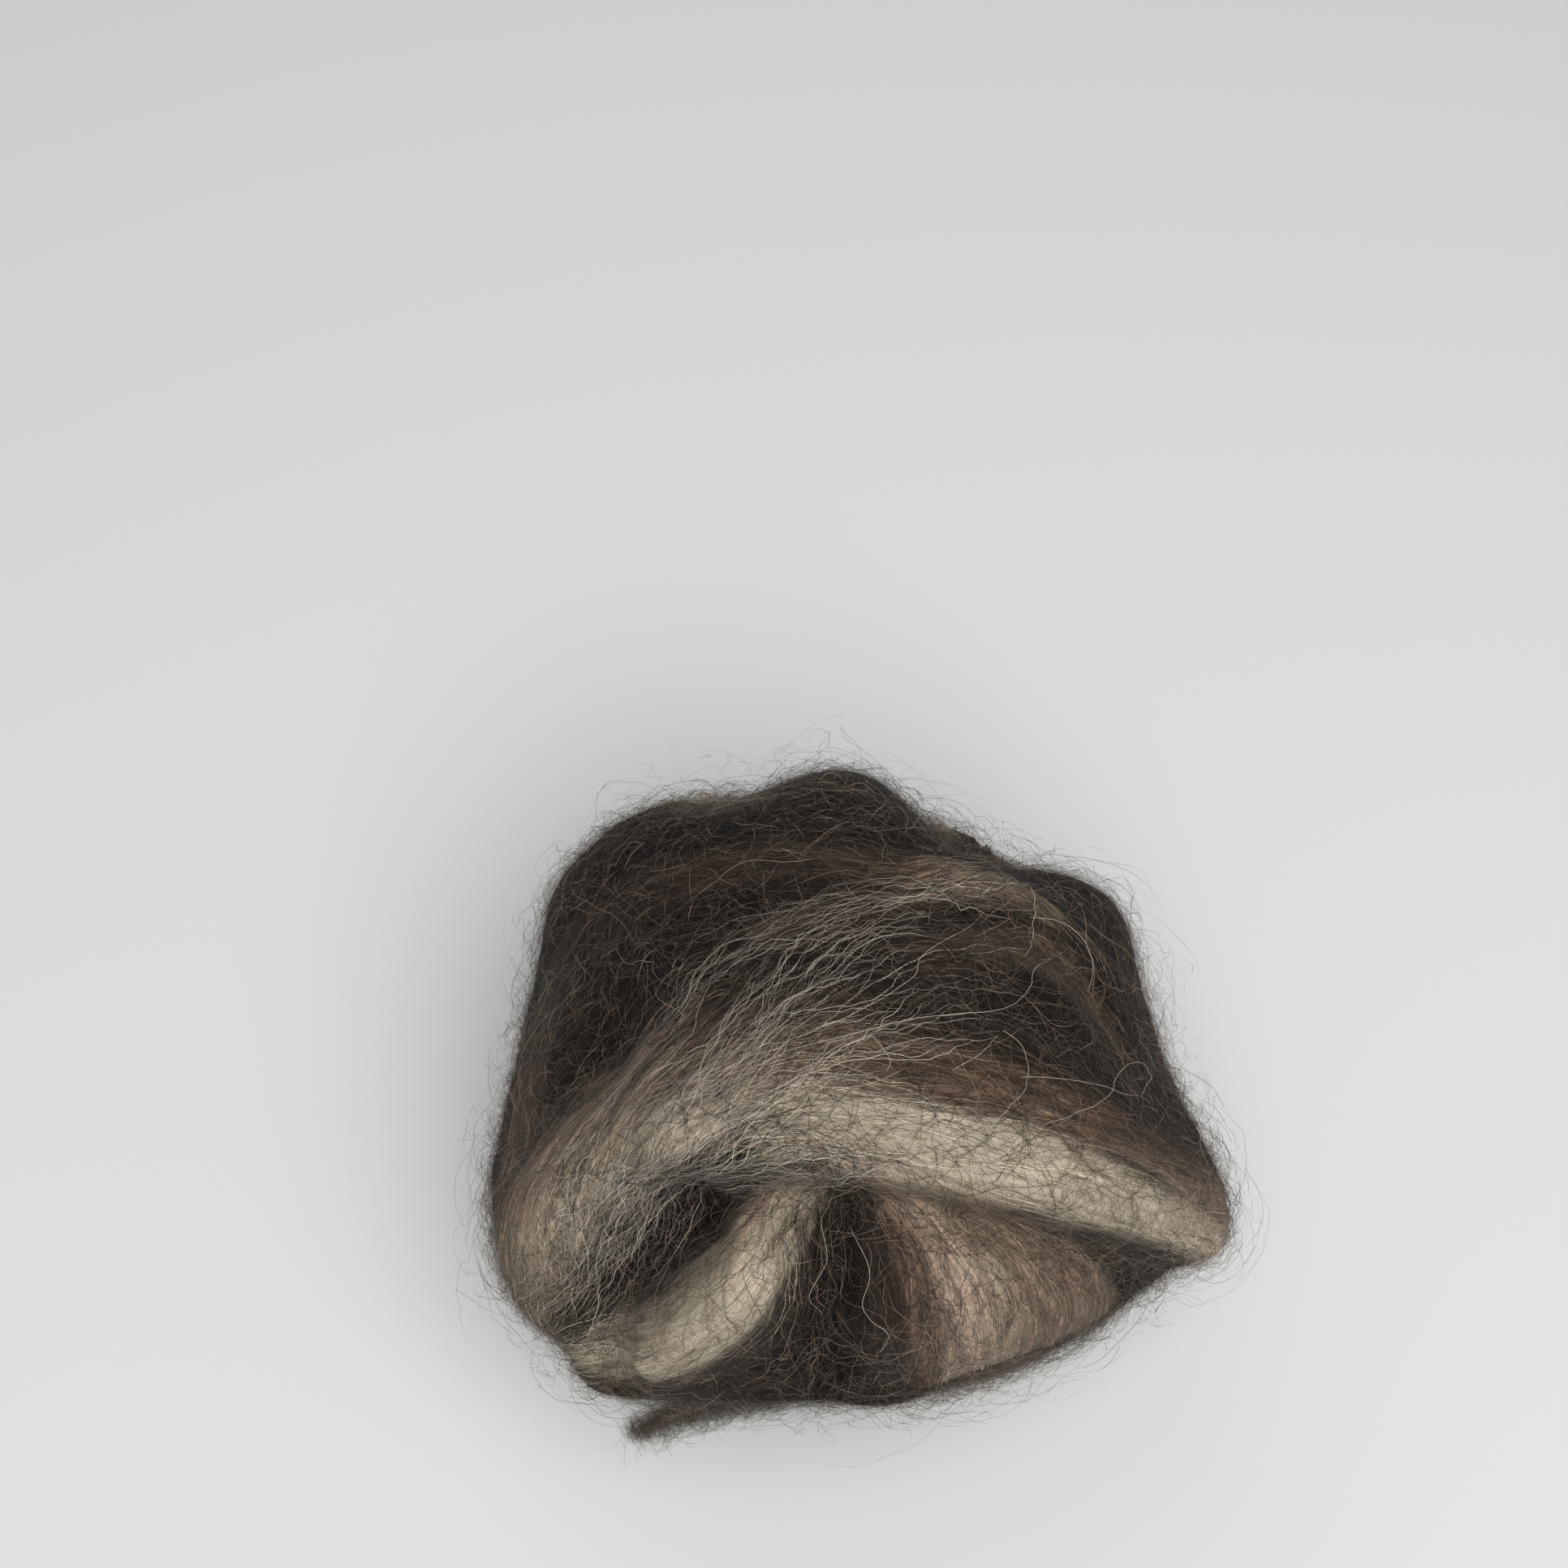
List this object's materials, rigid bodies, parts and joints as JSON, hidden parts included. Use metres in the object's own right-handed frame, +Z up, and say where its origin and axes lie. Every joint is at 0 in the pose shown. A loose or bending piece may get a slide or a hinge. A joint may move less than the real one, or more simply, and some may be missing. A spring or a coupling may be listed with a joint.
{
  "type": "wool roving ball",
  "caption": "Loose hand-wound ball of variegated wool roving with a pinched front wrap and a short loose end, resting on a small flat spot.",
  "frame": {"origin": "middle of the ball's bounding box, at the level of the surface that it rests on", "axes": "+Z up, +X to the right and +Y away from a viewer who faces the pinched front wrap"},
  "size_m": [0.084, 0.073, 0.072],
  "materials": {
    "roving": "matt carded wool in dark brown, black, cream and tan streaks, with a fuzzy surface",
    "loose_roving": "matt carded wool, dark brown, thinning to loose fibres at the tip"
  },
  "bodies": {
    "root": {"roving_ball": "roving", "loose_end": "loose_roving"}
  },
  "joints": []
}
